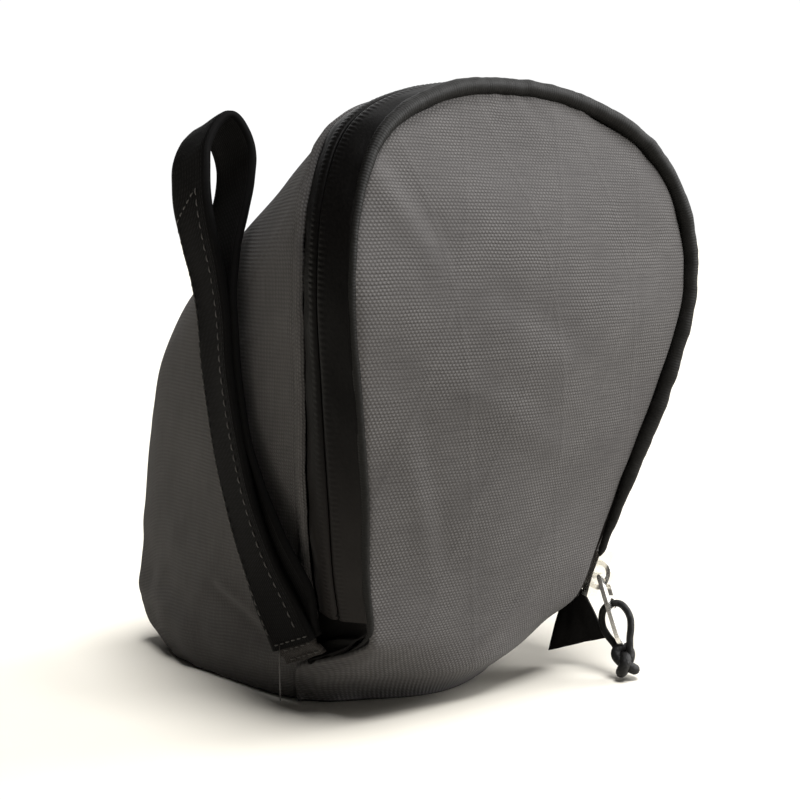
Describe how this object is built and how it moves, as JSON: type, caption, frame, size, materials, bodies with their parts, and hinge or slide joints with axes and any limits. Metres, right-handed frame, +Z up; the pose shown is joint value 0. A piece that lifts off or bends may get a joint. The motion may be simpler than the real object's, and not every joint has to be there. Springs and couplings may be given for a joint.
{
  "type": "bicycle saddle bag",
  "caption": "Small soft wedge bag with an egg-shaped zipped face, a metal zip pull with a knotted cord, and a webbing strap with an open loop on each side, for hanging under a bicycle saddle.",
  "frame": {"origin": "middle of the base, on the surface that the bag stands on", "axes": "+Z up, the zipped face looks towards -Y, the back that meets a seat post towards +Y, the slider's end of the zip on the +X side"},
  "size_m": [0.139, 0.1471, 0.1743],
  "materials": {
    "canvas": "coarse plain-weave synthetic canvas, matte",
    "coated_tape": "coated zip tape and piping, satin black",
    "plated_metal": "bright nickel plating",
    "cord": "braided cord, black",
    "webbing": "woven webbing, black"
  },
  "bodies": {
    "bag": {"front_panel": "canvas", "back_panel": "canvas", "body_shell": "canvas", "base_panel": "canvas", "zip_tape_front": "coated_tape", "zip_tape_rear": "coated_tape", "zip_end_left": "coated_tape", "zip_end_right": "coated_tape", "zip_tab_right": "coated_tape", "front_piping": "coated_tape", "slider": "plated_metal", "strap_left": "webbing", "strap_right": "webbing", "strap_foot_left": "canvas", "strap_foot_right": "canvas"},
    "pull": {"pull_tab": "plated_metal", "pull_cord": "cord", "pull_knot": "cord"}
  },
  "joints": [
    {"name": "pull_swing", "type": "hinge", "parent": "bag", "child": "pull", "pos_m": [0.0496, -0.058, 0.02917], "axis": [-0.9548, -0.2305, 0.1878], "range_deg": [-12, 125]}
  ]
}
